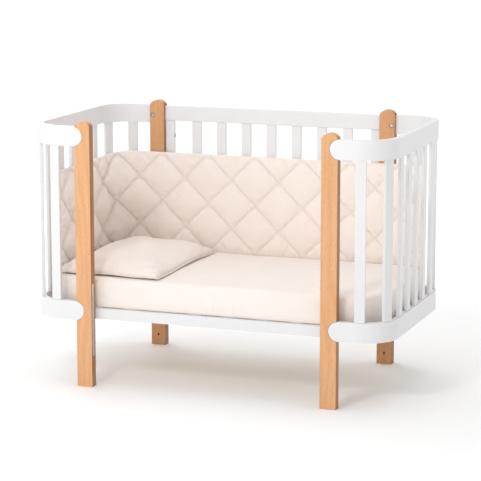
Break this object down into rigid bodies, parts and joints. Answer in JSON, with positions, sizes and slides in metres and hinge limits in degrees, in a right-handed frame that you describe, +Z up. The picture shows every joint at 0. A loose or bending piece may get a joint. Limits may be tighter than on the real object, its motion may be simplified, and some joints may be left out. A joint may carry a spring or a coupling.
{
  "type": "baby crib",
  "caption": "Oval baby crib in its sofa form: rounded white slatted ends on arched wooden posts, open front, mattress, quilted bumper and pillow.",
  "frame": {"origin": "on the floor, below the middle of the crib's overall box", "axes": "+X along the crib towards the end without the pillow, +Y from the open front to the slatted back, +Z up"},
  "size_m": [1.28, 0.692, 0.912],
  "materials": {
    "beech": "oiled, satin",
    "white_lacquer": "white lacquer, satin",
    "slat_wood": "bare, sanded",
    "zinc_steel": "zinc plated",
    "guide_plastic": "satin",
    "sheet_cotton": "matt woven cotton",
    "quilt_cotton": "matt quilted cotton",
    "pillow_cotton": "matt woven cotton"
  },
  "bodies": {
    "frame": {"post_front_left": "beech", "post_front_right": "beech", "post_back_left": "beech", "post_back_right": "beech", "upper_rail_left": "white_lacquer", "upper_rail_right": "white_lacquer", "lower_rail_left": "white_lacquer", "lower_rail_right": "white_lacquer", "end_slat_left_1": "white_lacquer", "end_slat_left_2": "white_lacquer", "end_slat_left_3": "white_lacquer", "end_slat_left_4": "white_lacquer", "end_slat_left_5": "white_lacquer", "end_slat_left_6": "white_lacquer", "end_slat_left_7": "white_lacquer", "end_slat_left_8": "white_lacquer", "end_slat_left_9": "white_lacquer", "end_slat_right_1": "white_lacquer", "end_slat_right_2": "white_lacquer", "end_slat_right_3": "white_lacquer", "end_slat_right_4": "white_lacquer", "end_slat_right_5": "white_lacquer", "end_slat_right_6": "white_lacquer", "end_slat_right_7": "white_lacquer", "end_slat_right_8": "white_lacquer", "end_slat_right_9": "white_lacquer", "back_top_rail": "white_lacquer", "back_bottom_rail": "white_lacquer", "back_stile_left": "white_lacquer", "back_stile_right": "white_lacquer", "back_slat_1": "white_lacquer", "back_slat_2": "white_lacquer", "back_slat_3": "white_lacquer", "back_slat_4": "white_lacquer", "back_slat_5": "white_lacquer", "back_slat_6": "white_lacquer", "back_slat_7": "white_lacquer", "tongue_bolt_upper_front_left": "zinc_steel", "tongue_bolt_upper_front_right": "zinc_steel", "tongue_bolt_upper_back_left": "zinc_steel", "tongue_bolt_upper_back_right": "zinc_steel", "tongue_bolt_lower_front_left": "zinc_steel", "tongue_bolt_lower_front_right": "zinc_steel", "tongue_bolt_lower_back_left": "zinc_steel", "tongue_bolt_lower_back_right": "zinc_steel", "stile_bolt_upper_left": "zinc_steel", "stile_bolt_upper_right": "zinc_steel", "stile_bolt_lower_left": "zinc_steel", "stile_bolt_lower_right": "zinc_steel", "guide_strip_left": "guide_plastic", "guide_strip_right": "guide_plastic"},
    "base": {"base_frame": "white_lacquer", "base_slat_mat": "slat_wood", "base_bolt_front_left": "zinc_steel", "base_bolt_front_right": "zinc_steel", "base_bolt_back_left": "zinc_steel", "base_bolt_back_right": "zinc_steel"},
    "mattress": {"mattress": "sheet_cotton"},
    "pillow": {"pillow": "pillow_cotton"},
    "bumper": {"bumper": "quilt_cotton"}
  },
  "joints": [
    {"name": "base_level", "type": "slide", "parent": "frame", "child": "base", "axis": [0, 0, 1], "range_m": [0, 0.24]},
    {"name": "mattress_lift", "type": "slide", "parent": "base", "child": "mattress", "axis": [0, 0, 1], "range_m": [0, 0.6]},
    {"name": "pillow_lift", "type": "slide", "parent": "mattress", "child": "pillow", "axis": [0, 0, 1], "range_m": [0, 0.3]},
    {"name": "bumper_lift", "type": "slide", "parent": "base", "child": "bumper", "axis": [0, 0, 1], "range_m": [0, 0.5]}
  ]
}
